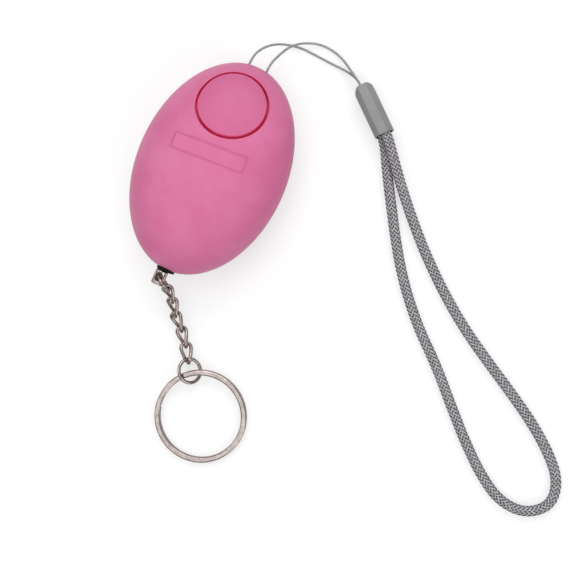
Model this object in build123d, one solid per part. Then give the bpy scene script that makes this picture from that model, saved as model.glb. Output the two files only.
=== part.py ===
from build123d import *

import math
import os

# Personal safety alarm: an egg of two plastic shells with a push button, a pull pin with a chain
# and a split key ring, and a thin strap cord with a clamp and a braided wrist loop.
# Millimetres. +Y runs along the egg to its strap end, +X across it, and +Z out of the button face.
# The origin is the middle of the flat that the egg rests on.

# The egg
egg_length = 63.0
egg_width = 43.4
front_depth = 14.5
rear_depth = 11.0
seam_z = 10.5
shell_wall = 1.5
overrun = 40.0

half_length = egg_length / 2
half_width = egg_width / 2
egg_top = seam_z + front_depth

# The tongue of the rear shell in the rebate of the front shell
tongue_height = 1.2
tongue_thickness = 0.7
tongue_clearance = 0.08

# The bare plaque on the front, a thin raised outline
plaque_width = 22.0
plaque_height = 4.9
plaque_y = 3.9
plaque_turn = 4.0
plaque_line = 0.45
plaque_raise = 0.16

# The push button, on an axis that leans towards the strap end
button_y_share = 0.6
button_y = button_y_share * half_length
button_lean = 22.0
button_radius = 9.55
button_gap = 0.75
button_proud = 0.3
button_skin = 1.4
button_skirt_wall = 1.4
button_lip = 1.3
button_lip_thickness = 0.7
button_ledge_drop = 4.2
button_running_gap = 0.1
button_edge_round = 0.35
collar_wall = 1.0
collar_below_lip = 0.9
foot_radius = 1.2
foot_gap = 0.05

# The circuit board on four posts of the rear shell
board_z = 11.2
board_thickness = 1.2
board_inset_x = 4.1
board_inset_y = 3.9
board_low_y = -4.0
board_high_inset = 10.0
board_semi_x = half_width - board_inset_x
board_semi_y = half_length - board_inset_y
board_high_y = half_length - board_high_inset
post_radius = 1.7
post_places = [(13.8, 0.5), (-13.8, 0.5), (8.0, 18.5), (-8.0, 18.5)]
board_screw_radius = 0.75
board_screw_length = 5.0
board_screw_head_radius = 1.45
board_screw_head_height = 0.9
screw_clearance = 0.05
hole_clearance = 0.25

# The case screws, driven from the back
case_screw_places = [(14.2, -12.0), (-14.2, -12.0), (15.0, 9.0), (-15.0, 9.0)]
case_column_radius = 2.9
case_screw_radius = 1.0
case_screw_head_radius = 1.9
case_screw_head_height = 1.1
case_screw_seat_z = 6.0
case_screw_top_z = 16.0
recess_clearance = 0.2
cross_slot_width = 0.45
cross_slot_share = 0.62
cross_slot_depth = 0.5
column_notch_gap = 0.4

# The push switch on the board
switch_setback = 2.2
switch_y = button_y - switch_setback
switch_side = 6.0
switch_body_height = 3.3
switch_cover_height = 0.2
plunger_radius = 1.7
plunger_rise = 0.8
plunger_depth = 0.7
plunger_clearance = 0.06
plunger_pocket_depth = 1.5

# The sounder over the slots
sounder_inset = 25.5
sounder_y = half_length - sounder_inset
sounder_seat_z = 3.2
sounder_seat_outer = 10.3
sounder_seat_wall = 1.5
gasket_thickness = 0.5
gasket_width = 1.1
sounder_radius = 10.0
sounder_brass = 0.2
ceramic_radius = 7.0
ceramic_thickness = 0.2
sound_slot_count = 5
sound_slot_pitch = 2.2
sound_slot_width = 1.1
sound_slot_length = 10.0

# The three button cells and their tray
cell_diameter = 11.6
cell_height = 5.4
cell_count = 3
cell_inset = 20.5
cell_y = cell_inset - half_length
cell_z = 8.9
cell_cap_radius = 4.6
cell_cap_height = 0.5
cell_edge_round = 0.3
cell_play = 0.1
tray_wall = 1.0
tray_low_z = 4.6
tray_high_z = 12.6
contact_thickness = 0.25
contact_room = 0.7
contact_width = 7.0
contact_dimple_radius = 1.4
rib_thickness = 1.2
pad_half_length = 7.5
pad_half_width = 3.8
pad_top_z = 15.7
pad_clearance = 0.05

# The pull pin and its socket in the lower tip, placed from the tip
pin_x = -0.7
pin_radius = 1.2
pin_clearance = 0.06
head_radius = 1.8
head_length = 4.35
head_root_outset = 0.55
head_edge_round = 0.35
pin_tip_inset = 13.8
tip_length = 4.0
tip_cone = 1.0
tip_spigot_radius = 0.6
tip_spigot_length = 1.5
link_hole_radius = 0.85
link_hole_flare = 0.42
link_hole_outset = 2.5
link_seat_back = 0.3
opening_radius = 2.8
socket_clearance = 0.12
socket_nose_outset = 0.45
socket_step_inset = 4.0
socket_inner_inset = 9.5
socket_edge_round = 0.25
socket_radius = 3.6
saddle_half_width = 6.0
saddle_inset = 6.5
head_root_y = -half_length - head_root_outset
pin_tip_y = pin_tip_inset - half_length
link_hole_y = -half_length - link_hole_outset
socket_nose_y = -half_length - socket_nose_outset
socket_step_y = socket_step_inset - half_length
socket_inner_y = socket_inner_inset - half_length
saddle_y = saddle_inset - half_length

# The contacts at the insulating tip of the pin
block_half_x = 8.0
block_inner_x = 5.5
block_low_inset = 10.2
block_high_inset = 13.7
block_low_y = block_low_inset - half_length
block_high_y = block_high_inset - half_length
block_base_z = 6.2
block_base_thickness = 1.0
block_top_z = 12.8
leaf_thickness = 0.2
leaf_height = 2.4
leaf_gap = 0.05
leaf_outer_x = 6.8
leaf_root_inset = 13.1
leaf_root_y = leaf_root_inset - half_length

# Parts on the board
coil_place = (7.0, 0.6)
coil_flange_radius = 3.4
coil_flange_height = 0.8
coil_height = 6.0
coil_core_radius = 1.5
coil_winding_radius = 3.0
chip_place = (-7.0, 4.2)
chip_length = 5.0
chip_width = 3.9
chip_height = 1.5
chip_leg_width = 0.42
chip_leg_reach = 1.0
chip_leg_height = 0.5
chip_leg_count = 4
chip_leg_pitch = 1.27
transistor_place = (-1.6, 3.4)
transistor_radius = 2.3
transistor_height = 4.6
transistor_flat = 1.3
transistor_leg_height = 1.6
transistor_leg_radius = 0.25
transistor_leg_pitch = 1.27
resistor_places = [(-10.4, 8.6), (-6.6, 8.6), (-2.6, 8.6), (2.4, 8.6), (6.8, 8.6), (10.4, 6.2)]
resistor_length = 2.0
resistor_width = 1.25
resistor_height = 0.55
capacitor_place = (-9.6, -0.6)
capacitor_radius = 2.0
capacitor_height = 5.0
capacitor_round = 0.4

# Wires inside the egg
wire_radius = 0.35
wire_bend = 1.2
cell_lead_x = 8.675
cell_lead_low_y = -9.0
cell_lead_high_y = -3.2
cell_lead_top_z = 14.6
disc_lead_foot = (8.5, 6.0)
disc_lead_head = (5.0, 9.5)
ceramic_lead_foot = (-4.0, 4.0)
ceramic_lead_head = (-7.0, 8.0)
sounder_lead_turn_z = 7.5

# The chain: one plain link through the pin, then twisted links
chain_wire_radius = 0.525
chain_gap = 0.12
first_link_half_width = 2.2
first_link_half_length = 2.65
link_half_width = 1.48
link_half_length = 2.95
link_twist = 45.0
link_headings = [-37.0, -52.0, -59.0, -46.0, -49.0, -53.0]
link_dips = [50.0, 40.0, 27.0, 13.0, 1.1, -7.0]
link_rolls = [90.0, 46.0, 44.0, 44.0, 40.0, 24.0]
link_count = len(link_headings)

# The small ring and the split key ring
small_ring_radius = 3.45
small_ring_wire_radius = 0.5
small_ring_heading = -57.0
small_ring_tilt = 38.5
key_ring_outer_diameter = 27.0
key_ring_wire_width = 1.6
key_ring_wire_height = 1.0
key_ring_turn_gap = 0.1
key_ring_round = 0.42
key_ring_heading = -52.0
key_ring_overlap = -0.8
key_ring_jog_angle = 30.0
key_ring_jog_start = 245.0

# The strap cord, its post in the upper tip, and its clamp
cord_bend_share = 0.45
strap_cord_radius = 0.35
strap_hole_x = 2.75
strap_hole_radius = 0.75
strap_exit_inset = 0.5
strap_post_inset = 6.5
strap_exit_y = half_length - strap_exit_inset
strap_post_y = half_length - strap_post_inset
strap_post_gap = 0.12
strap_post_top_z = 12.0
left_cord_route = [
    (-2.75, 31.0, 10.5), (-2.75, 33.8, 10.5), (-1.9, 36.8, 8.4), (-0.4, 39.5, 4.7), (2.2, 41.4, 1.3),
    (6.4, 42.4, 0.45), (11.5, 42.2, 0.45), (17.0, 41.8, 0.5), (21.5, 41.6, 1.1), (25.1, 40.9, 2.2),
    (27.81, 39.29, 2.95), (29.87, 37.56, 2.95)]
right_cord_route = [
    (2.75, 31.0, 10.5), (2.75, 33.6, 10.5), (3.4, 36.6, 8.8), (4.0, 39.6, 5.6), (5.1, 42.1, 2.9),
    (7.6, 44.1, 1.6), (11.4, 45.5, 0.8), (15.3, 45.5, 0.5), (19.4, 44.3, 1.2), (23.5, 41.9, 2.9),
    (27.81, 39.29, 3.95), (29.87, 37.56, 3.95)]
clamp_start = (28.16, 39.26)
clamp_heading = -40.0
clamp_length = 15.2
clamp_width = 5.7
clamp_height = 7.0
clamp_chamfer = 1.6
clamp_left_shoulder = (1.9, 2.3)
clamp_right_shoulder = (1.3, 1.7)
clamp_shoulder_slope = 0.35
clamp_wall = 0.45
clamp_pocket_depth = 5.0
clamp_pocket_round = 1.5
clamp_cord_slot_depth = 2.6
clamp_cord_clearance = 0.07
clamp_cord_side = -0.2
left_cord_clamp_z = 2.95
right_cord_clamp_z = 3.95

# The braided wrist loop
loop_radius = 1.55
loop_route = [
    (36.35, 31.61, 2.02), (40.19, 28.39, 2.02), (44.6, 20.4, 1.6), (50.2, 11.4, 1.6), (57.0, 0.8, 1.6),
    (63.5, -7.8, 1.6), (71.7, -16.4, 1.6), (80.4, -23.6, 1.6), (88.8, -31.9, 1.6),
    (96.8, -39.6, 1.6), (104.9, -46.3, 1.6), (112.5, -50.7, 1.6), (120.5, -50.8, 1.6),
    (126.1, -45.6, 1.6), (124.8, -38.4, 1.6), (119.3, -32.6, 1.6), (111.4, -26.8, 1.6),
    (102.2, -21.5, 1.6), (91.7, -15.8, 1.6), (82.0, -10.1, 1.6), (72.3, -3.0, 1.6),
    (63.5, 4.5, 1.6), (56.2, 11.7, 2.0), (50.0, 18.4, 3.1), (45.0, 24.3, 4.3),
    (40.95, 29.31, 4.98), (37.12, 32.52, 4.98)]


# Helpers

def place(x, y, z):
    return Location((x, y, z))


def column(radius, low_z, high_z, x=0.0, y=0.0):
    """An upright cylinder between two heights."""
    upright = (Align.CENTER, Align.CENTER, Align.MIN)
    return place(x, y, low_z) * Cylinder(radius, high_z - low_z, align=upright)


def block(low, high):
    """A box between two corners."""
    sides = [b - a for a, b in zip(low, high)]
    corner = (Align.MIN, Align.MIN, Align.MIN)
    return place(*low) * Box(*sides, align=corner)


def rod_y(radius, low_y, high_y, x=0.0, z=0.0):
    """A cylinder along Y between two stations."""
    along_y = Plane((x, low_y, z), x_dir=(1, 0, 0), z_dir=(0, 1, 0))
    upright = (Align.CENTER, Align.CENTER, Align.MIN)
    return along_y * Cylinder(radius, high_y - low_y, align=upright)


def rod_x(radius, low_x, high_x, y=0.0, z=0.0):
    """A cylinder along X between two stations."""
    along_x = Plane((low_x, y, z), x_dir=(0, 1, 0), z_dir=(1, 0, 0))
    upright = (Align.CENTER, Align.CENTER, Align.MIN)
    return along_x * Cylinder(radius, high_x - low_x, align=upright)


def dome(depth, inset):
    """The whole ellipsoid of one shell, drawn in by an inset."""
    unit = Sphere(1)
    semi = (half_width - inset, half_length - inset, depth - inset)
    return place(0, 0, seam_z) * scale(unit, by=semi)


def above_seam():
    return block((-overrun, -overrun, seam_z), (overrun, overrun, seam_z + overrun))


def below_seam():
    return block((-overrun, -overrun, 0), (overrun, overrun, seam_z))


def tube_along(points, radius):
    """A round tube on straight runs joined by arcs as large as the runs allow."""
    vectors = [Vector(*p) for p in points]
    radii = []
    for a, b, c in zip(vectors, vectors[1:], vectors[2:]):
        turn = math.radians((b - a).get_angle(c - b))
        shorter = min((b - a).length, (c - b).length)
        radii.append(cord_bend_share * shorter / math.tan(turn / 2))
    path = FilletPolyline(*points, radius=radii)
    start = Plane(origin=path @ 0, z_dir=path % 0)
    tube = sweep(start * Circle(radius), path=path)
    print("tube", round(path.length, 1), "long, tightest radius", round(min(radii), 1),
          "volume share", round(tube.volume / (math.pi * radius ** 2 * path.length), 4))
    return tube


def bent_wire(points):
    """A thin wire on straight runs with equal bends."""
    path = FilletPolyline(*points, radius=wire_bend)
    start = Plane(origin=path @ 0, z_dir=path % 0)
    return sweep(start * Circle(wire_radius), path=path)


def biarc(start, start_tangent, end, end_tangent):
    """Two arcs that leave one point and reach the other along the given tangents."""
    chord = end - start
    both = start_tangent + end_tangent
    bend = 1 - start_tangent.dot(end_tangent)
    along = chord.dot(both)
    reach = (math.sqrt(along ** 2 + 2 * bend * chord.dot(chord)) - along) / (2 * bend)
    middle = (start + end + (start_tangent - end_tangent) * reach) * 0.5
    first = Edge.make_tangent_arc(start, start_tangent, middle)
    tangent = ((end - end_tangent * reach) - (start + start_tangent * reach)).normalized()
    second = Edge.make_tangent_arc(middle, tangent, end)
    return [first, second]


def shell_point(depth, y):
    """The height of the outer skin on the centre line, at a station along the egg."""
    return seam_z + depth * math.sqrt(1 - (y / half_length) ** 2)


# The button's own frame: its origin lies on the outer skin, its Z runs out along its axis
lean = math.radians(button_lean)
button_plane = Plane((0, button_y, shell_point(front_depth, button_y)), x_dir=(1, 0, 0),
                     z_dir=(0, math.sin(lean), math.cos(lean)))
button_hole_radius = button_radius + button_gap
lip_radius = button_radius + button_lip
lip_bore_radius = lip_radius + button_gap / 2
lip_top = -button_ledge_drop - button_running_gap
skirt_bottom = lip_top - button_lip_thickness
collar_bottom = skirt_bottom - collar_below_lip


def button_column(radius, low, high):
    upright = (Align.CENTER, Align.CENTER, Align.MIN)
    return button_plane * Location((0, 0, low)) * Cylinder(radius, high - low, align=upright)


# Heights on the board
board_top = board_z + board_thickness
switch_body_top = board_top + switch_body_height
switch_top = switch_body_top + switch_cover_height
plunger_top = switch_top + plunger_rise

# Heights of the sounder
gasket_top = sounder_seat_z + gasket_thickness
brass_top = gasket_top + sounder_brass
ceramic_top = brass_top + ceramic_thickness

# The stack of cells lies along X
stack_length = cell_count * cell_height
tray_half_room = stack_length / 2 + contact_room
tray_half_x = tray_half_room + tray_wall
tray_half_y = cell_diameter / 2 + cell_play + tray_wall / 2
tray_low_y = cell_y - tray_half_y
tray_high_y = cell_y + tray_half_y


def strap_and_pin_cuts():
    """The two strap holes in the upper tip and the round opening in the lower tip."""
    cuts = rod_y(opening_radius, -half_length - shell_wall, socket_step_y, z=seam_z)
    for side in (-1, 1):
        cuts += rod_y(strap_hole_radius, strap_exit_y - 2 * shell_wall,
                      half_length + shell_wall, x=side * strap_hole_x, z=seam_z)
    return cuts


def tongue(inset, height):
    """The rim ring on the inner half of the wall, above the seam."""
    outline = Ellipse(half_width - inset, half_length - inset)
    return place(0, 0, seam_z) * extrude(outline, amount=height)


def make_front_shell():
    outer = dome(front_depth, 0) & above_seam()
    cavity = dome(front_depth, shell_wall)
    shell = outer - cavity
    frame = Rectangle(plaque_width, plaque_height)
    frame -= Rectangle(plaque_width - 2 * plaque_line, plaque_height - 2 * plaque_line)
    frame_prism = place(0, plaque_y, seam_z) * extrude(Rot(0, 0, plaque_turn) * frame, amount=overrun)
    shell += (dome(front_depth, -plaque_raise) & frame_prism) - dome(front_depth, shell_wall / 2)
    collar = button_column(lip_bore_radius + collar_wall, collar_bottom, 0)
    shell += collar & outer
    for x, y in case_screw_places:
        boss = column(case_column_radius, seam_z, egg_top, x, y)
        shell += boss & outer
    cell_rib = block((-pad_half_length, cell_y - rib_thickness / 2, pad_top_z),
                     (pad_half_length, cell_y + rib_thickness / 2, egg_top))
    shell += cell_rib & outer
    shell -= button_column(button_hole_radius, collar_bottom - overrun, overrun)
    shell -= button_column(lip_bore_radius, collar_bottom - overrun, -button_ledge_drop)
    for x, y in case_screw_places:
        pilot = case_screw_radius + screw_clearance
        shell -= column(pilot, seam_z, case_screw_top_z + screw_clearance, x, y)
    rebate_inset = shell_wall - tongue_thickness - tongue_clearance
    shell -= (tongue(rebate_inset, tongue_height + tongue_clearance)
              - tongue(shell_wall, tongue_height + tongue_clearance))
    shell -= strap_and_pin_cuts()
    return shell


def make_rear_shell():
    outer = dome(rear_depth, 0) & below_seam()
    floor_z = shell_wall
    room = block((-overrun, -overrun, floor_z), (overrun, overrun, seam_z + overrun))
    shell = outer - (dome(rear_depth, shell_wall) & room)
    lip_inset = shell_wall - tongue_thickness
    shell += tongue(lip_inset, tongue_height) - tongue(shell_wall, tongue_height)
    inside = column(half_length, 0, seam_z)
    additions = column(sounder_seat_outer, floor_z / 2, sounder_seat_z, y=sounder_y)
    additions -= column(sounder_seat_outer - sounder_seat_wall, 0, egg_top, y=sounder_y)
    for x, y in post_places:
        additions += column(post_radius, floor_z / 2, seam_z, x, y)
    for x, y in case_screw_places:
        additions += column(case_column_radius, 0, seam_z, x, y)
    for side in (-1, 1):
        middle = side * (tray_half_x - rib_thickness / 2)
        additions += block((middle - rib_thickness / 2, tray_low_y, floor_z / 2),
                           (middle + rib_thickness / 2, tray_high_y, tray_low_z))
    additions += block((-rib_thickness, block_low_y, floor_z), (rib_thickness, block_high_y, block_base_z))
    saddle = block((-saddle_half_width, saddle_y - rib_thickness / 2, floor_z),
                   (saddle_half_width, saddle_y + rib_thickness / 2, seam_z))
    additions += saddle - rod_y(socket_radius + screw_clearance, -half_length, 0, z=seam_z)
    shell += additions & dome(rear_depth, 0) & inside
    for x, y in post_places:
        shell += column(post_radius, seam_z - post_radius, board_z, x, y)
        shell -= column(board_screw_radius + screw_clearance,
                        board_z - board_screw_length, board_z, x, y)
    post = column(strap_hole_x - strap_cord_radius - strap_post_gap, 0, seam_z, y=strap_post_y)
    shell += post & dome(rear_depth, 0)
    shell += column(strap_hole_x - strap_cord_radius - strap_post_gap, seam_z - post_radius,
                    strap_post_top_z, y=strap_post_y)
    for x, y in case_screw_places:
        shell -= column(case_screw_radius + hole_clearance, 0, seam_z, x, y)
        shell -= column(case_screw_head_radius + recess_clearance, 0, case_screw_seat_z, x, y)
    first_y = sounder_y - sound_slot_pitch * (sound_slot_count - 1) / 2
    for i in range(sound_slot_count):
        slot = SlotOverall(sound_slot_length, sound_slot_width)
        middle_y = first_y + i * sound_slot_pitch
        shell -= place(0, middle_y, 0) * extrude(slot, amount=sounder_seat_z)
    shell -= strap_and_pin_cuts()
    return shell


def make_push_button():
    cap = button_column(button_radius, skirt_bottom, overrun) & dome(front_depth, -button_proud)
    cap = fillet(cap.edges().filter_by(GeomType.BSPLINE), button_edge_round)
    lip = button_column(lip_radius, skirt_bottom, lip_top)
    hollow = button_column(button_radius - button_skirt_wall, skirt_bottom - overrun, overrun)
    hollow = hollow & dome(front_depth, button_skin - button_proud)
    foot_drop = foot_centre_drop()
    foot = button_column(foot_radius, foot_drop, 0)
    foot += button_plane * Location((0, 0, foot_drop)) * Sphere(foot_radius)
    return (cap + lip - hollow) + (foot & dome(front_depth, button_proud))


def foot_centre_drop():
    """Where the ball of the foot lies along the axis, so that it just clears the plunger."""
    ball_z = plunger_top + foot_gap + foot_radius
    return (ball_z - button_plane.origin.Z) / math.cos(lean)


def screw(x, y, head_low, head_high, tip, radius, head_radius):
    """A pan head screw along Z with a cross slot in the head's outer face."""
    low, high = min(head_low, head_high), max(head_low, head_high)
    shaft_low, shaft_high = min(tip, head_low), max(tip, head_low)
    body = column(head_radius, low, high, x, y) + column(radius, shaft_low, shaft_high, x, y)
    half = head_radius * cross_slot_share
    thin = cross_slot_width / 2
    inward = cross_slot_depth if head_high < head_low else -cross_slot_depth
    low_z, high_z = sorted((head_high, head_high + inward))
    body -= block((x - half, y - thin, low_z), (x + half, y + thin, high_z))
    body -= block((x - thin, y - half, low_z), (x + thin, y + half, high_z))
    return body


def make_case_screws():
    seat = case_screw_seat_z
    return [screw(x, y, seat, seat - case_screw_head_height, case_screw_top_z,
                  case_screw_radius, case_screw_head_radius) for x, y in case_screw_places]


def make_board_screws():
    tip = board_top - board_screw_length
    return [screw(x, y, board_top, board_top + board_screw_head_height, tip,
                  board_screw_radius, board_screw_head_radius) for x, y in post_places]


def make_circuit_board():
    outline = Ellipse(board_semi_x, board_semi_y)
    band = Rectangle(2 * board_semi_x, board_high_y - board_low_y)
    band = Pos(0, (board_low_y + board_high_y) / 2) * band
    board = place(0, 0, board_z) * extrude(outline & band, amount=board_thickness)
    for x, y in post_places:
        board -= column(board_screw_radius + screw_clearance, board_z, board_top, x, y)
    for x, y in case_screw_places:
        board -= column(case_column_radius + column_notch_gap, board_z, board_top, x, y)
    return board


def make_switch_body():
    half = switch_side / 2
    body = block((-half, switch_y - half, board_top), (half, switch_y + half, switch_body_top))
    pocket = column(plunger_radius + plunger_clearance,
                    switch_top - plunger_pocket_depth, switch_top, y=switch_y)
    return body - pocket


def make_switch_cover():
    half = switch_side / 2
    plate = block((-half, switch_y - half, switch_body_top), (half, switch_y + half, switch_top))
    hole = column(plunger_radius + plunger_clearance, switch_body_top, switch_top, y=switch_y)
    return plate - hole


def make_switch_plunger():
    return column(plunger_radius, switch_top - plunger_depth, plunger_top, y=switch_y)


def make_sounder():
    """The foam gasket, the brass disc and the ceramic layer on it."""
    gasket = column(sounder_radius, sounder_seat_z, gasket_top, y=sounder_y)
    gasket -= column(sounder_radius - gasket_width, sounder_seat_z, gasket_top, y=sounder_y)
    brass = column(sounder_radius, gasket_top, brass_top, y=sounder_y)
    ceramic = column(ceramic_radius, brass_top, ceramic_top, y=sounder_y)
    return gasket, brass, ceramic


def make_cell(index):
    """One button cell: a can with a smaller cap on its negative side, towards -X."""
    low_x = -stack_length / 2 + index * cell_height
    can = rod_x(cell_diameter / 2, low_x + cell_cap_height, low_x + cell_height, cell_y, cell_z)
    can = fillet(can.edges().filter_by(GeomType.CIRCLE), cell_edge_round)
    cap = rod_x(cell_cap_radius, low_x, low_x + cell_cap_height, cell_y, cell_z)
    return can + cap


def make_cell_tray():
    tray = block((-tray_half_x, tray_low_y, tray_low_z), (tray_half_x, tray_high_y, tray_high_z))
    bed_radius = cell_diameter / 2 + cell_play
    tray -= rod_x(bed_radius, -tray_half_room, tray_half_room, cell_y, cell_z)
    tray -= block((-tray_half_room, cell_y - bed_radius, cell_z),
                  (tray_half_room, cell_y + bed_radius, tray_high_z))
    return tray


def make_cell_contact(side):
    """A leaf at one end of the stack, with a dimple that presses on the cell."""
    wall_x = side * tray_half_room
    face_x = wall_x - side * contact_thickness
    low_x, high_x = sorted((wall_x, face_x))
    half = contact_width / 2
    leaf = block((low_x, cell_y - half, tray_low_z + tray_wall), (high_x, cell_y + half, tray_high_z))
    dimple_x = side * (stack_length / 2 + screw_clearance)
    low_x, high_x = sorted((face_x, dimple_x))
    return leaf + rod_x(contact_dimple_radius, low_x, high_x, cell_y, cell_z)


def make_cell_lead(side):
    """A lead from the top edge of a cell contact over to the board."""
    x = side * cell_lead_x
    return bent_wire([(x, cell_lead_low_y, tray_high_z), (x, cell_lead_low_y, cell_lead_top_z),
                      (x, cell_lead_high_y, cell_lead_top_z), (x, cell_lead_high_y, board_top)])


def make_sounder_lead(foot, head, foot_z):
    """A lead from the sounder up to the underside of the board."""
    return bent_wire([(*foot, foot_z), (*foot, sounder_lead_turn_z),
                      (*head, sounder_lead_turn_z), (*head, board_z)])


def make_cell_pad():
    low_z = cell_z + cell_diameter / 4
    pad = block((-pad_half_length, cell_y - pad_half_width, low_z),
                (pad_half_length, cell_y + pad_half_width, pad_top_z))
    return pad - rod_x(cell_diameter / 2 + pad_clearance, -overrun, overrun, cell_y, cell_z)


def make_pin_socket():
    nose_radius = opening_radius - socket_clearance
    socket = rod_y(nose_radius, socket_nose_y, socket_step_y, z=seam_z)
    socket = fillet(socket.edges().group_by(Axis.Y)[0], socket_edge_round)
    socket += rod_y(socket_radius, socket_step_y, socket_inner_y, z=seam_z)
    bore = pin_radius + pin_clearance
    return socket - rod_y(bore, socket_nose_y, socket_inner_y, x=pin_x, z=seam_z)


def make_pull_pin():
    head_end = head_root_y - head_length
    head = rod_y(head_radius, head_end, head_root_y, x=pin_x, z=seam_z)
    head = fillet(head.edges().filter_by(GeomType.CIRCLE), head_edge_round)
    shaft = rod_y(pin_radius, head_root_y, pin_tip_y - tip_length, x=pin_x, z=seam_z)
    pin = head + shaft
    pin -= rod_y(tip_spigot_radius, pin_tip_y - tip_length - tip_spigot_length,
                 pin_tip_y - tip_length, x=pin_x, z=seam_z)
    low, high = seam_z - head_radius, seam_z + head_radius
    pin -= column(link_hole_radius, low, high, pin_x, link_hole_y)
    wide = link_hole_radius + link_hole_flare
    for face, inward in ((low, 1), (high, -1)):
        mouth = Plane((pin_x, link_hole_y, face - inward * link_hole_flare), z_dir=(0, 0, inward))
        flare = Cone(wide + link_hole_flare, link_hole_radius, 3 * link_hole_flare,
                     align=(Align.CENTER, Align.CENTER, Align.MIN))
        pin -= mouth * flare
    return pin


def make_pin_tip():
    """The insulating end of the pin, with a spigot in the metal shaft."""
    straight_end = pin_tip_y - tip_cone
    tip = rod_y(pin_radius, pin_tip_y - tip_length, straight_end, x=pin_x, z=seam_z)
    cone_plane = Plane((pin_x, straight_end, seam_z), x_dir=(1, 0, 0), z_dir=(0, 1, 0))
    tip += cone_plane * Cone(pin_radius, pin_radius / 2, tip_cone,
                             align=(Align.CENTER, Align.CENTER, Align.MIN))
    spigot = tip_spigot_radius - screw_clearance
    return tip + rod_y(spigot, pin_tip_y - tip_length - tip_spigot_length,
                       pin_tip_y - tip_length, x=pin_x, z=seam_z)


def make_contact_block():
    base_top = block_base_z + block_base_thickness
    body = block((-block_half_x, block_low_y, block_base_z), (block_half_x, block_high_y, base_top))
    for side in (-1, 1):
        low_x, high_x = sorted((side * block_inner_x, side * block_half_x))
        upright = block((low_x, block_low_y, base_top), (high_x, block_high_y, block_top_z))
        slot_low, slot_high = sorted((side * block_inner_x, side * (leaf_outer_x + screw_clearance)))
        grip = screw_clearance
        slot = block((slot_low, leaf_root_y - grip, seam_z - leaf_height / 2 - grip),
                     (slot_high, leaf_root_y + leaf_thickness + grip, block_top_z))
        body += upright - slot
    return body


def make_pin_contact(side):
    """A bent leaf: one leg lies along the pin's tip, the other reaches into the block."""
    face_x = pin_x + side * (pin_radius + leaf_gap)
    back_x = face_x + side * leaf_thickness
    low_z, high_z = seam_z - leaf_height / 2, seam_z + leaf_height / 2
    low_x, high_x = sorted((face_x, back_x))
    leg = block((low_x, block_low_y, low_z), (high_x, leaf_root_y + leaf_thickness, high_z))
    low_x, high_x = sorted((face_x, side * leaf_outer_x))
    return leg + block((low_x, leaf_root_y, low_z), (high_x, leaf_root_y + leaf_thickness, high_z))


def make_coil():
    """The ferrite drum of the booster coil and the winding on it."""
    x, y = coil_place
    top = board_top + coil_height
    core = column(coil_flange_radius, board_top, board_top + coil_flange_height, x, y)
    core += column(coil_core_radius, board_top, top, x, y)
    core += column(coil_flange_radius, top - coil_flange_height, top, x, y)
    winding = column(coil_winding_radius, board_top + coil_flange_height, top - coil_flange_height, x, y)
    return core, winding - column(coil_core_radius, board_top, top, x, y)


def make_control_chip():
    x, y = chip_place
    body = block((x - chip_length / 2, y - chip_width / 2, board_top + chip_leg_height / 2),
                 (x + chip_length / 2, y + chip_width / 2, board_top + chip_height))
    first_x = x - chip_leg_pitch * (chip_leg_count - 1) / 2
    reach = chip_width / 2 + chip_leg_reach
    for i in range(chip_leg_count):
        leg_x = first_x + i * chip_leg_pitch
        body += block((leg_x - chip_leg_width / 2, y - reach, board_top),
                      (leg_x + chip_leg_width / 2, y + reach, board_top + chip_leg_height))
    return body


def make_transistor():
    x, y = transistor_place
    low = board_top + transistor_leg_height
    body = column(transistor_radius, low, low + transistor_height, x, y)
    body -= block((x - transistor_radius, y + transistor_flat, low),
                  (x + transistor_radius, y + transistor_radius, low + transistor_height))
    for i in (-1, 0, 1):
        body += column(transistor_leg_radius, board_top, low, x + i * transistor_leg_pitch, y)
    return body


def make_resistors():
    half_x, half_y = resistor_length / 2, resistor_width / 2
    top = board_top + resistor_height
    return [block((x - half_x, y - half_y, board_top), (x + half_x, y + half_y, top))
            for x, y in resistor_places]


def make_capacitor():
    x, y = capacitor_place
    can = column(capacitor_radius, board_top, board_top + capacitor_height, x, y)
    return fillet(can.edges().group_by(Axis.Z)[-1], capacitor_round)


# The chain

def unit_heading(degrees, dip=0.0):
    """A direction from a compass heading in the XY plane and a dip below it."""
    heading, down = math.radians(degrees), math.radians(dip)
    return Vector(math.cos(down) * math.cos(heading), math.cos(down) * math.sin(heading), -math.sin(down))


def link_sizes(index):
    if index == 0:
        return first_link_half_length, first_link_half_width, 0.0
    return link_half_length, link_half_width, link_twist


def chain_centres():
    """The middle of each link, and its two end points, from the pin's hole down to the rings."""
    directions = [unit_heading(a, b) for a, b in zip(link_headings, link_dips)]
    hole = Vector(pin_x, link_hole_y, seam_z)
    centres, ends = [], []
    for i, direction in enumerate(directions):
        length, width, _ = link_sizes(i)
        if i == 0:
            level = unit_heading(link_headings[0])
            centre = hole + level * (width - link_seat_back) + direction * (length - width)
        else:
            meeting = (directions[i - 1] + direction).normalized()
            start = ends[-1] - meeting * (2 * chain_wire_radius + chain_gap)
            centre = start + direction * length
        centres.append(centre)
        ends.append(centre + direction * length)
    return directions, centres, ends


def link_side(index, share):
    """The link's width direction, at a share of its half length from its middle."""
    along = unit_heading(link_headings[index], link_dips[index])
    level = unit_heading(link_headings[index] + 90.0)
    upright = along.cross(level)
    angle = math.radians(link_rolls[index] + link_sizes(index)[2] * share)
    return level * math.cos(angle) + upright * math.sin(angle)


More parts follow.
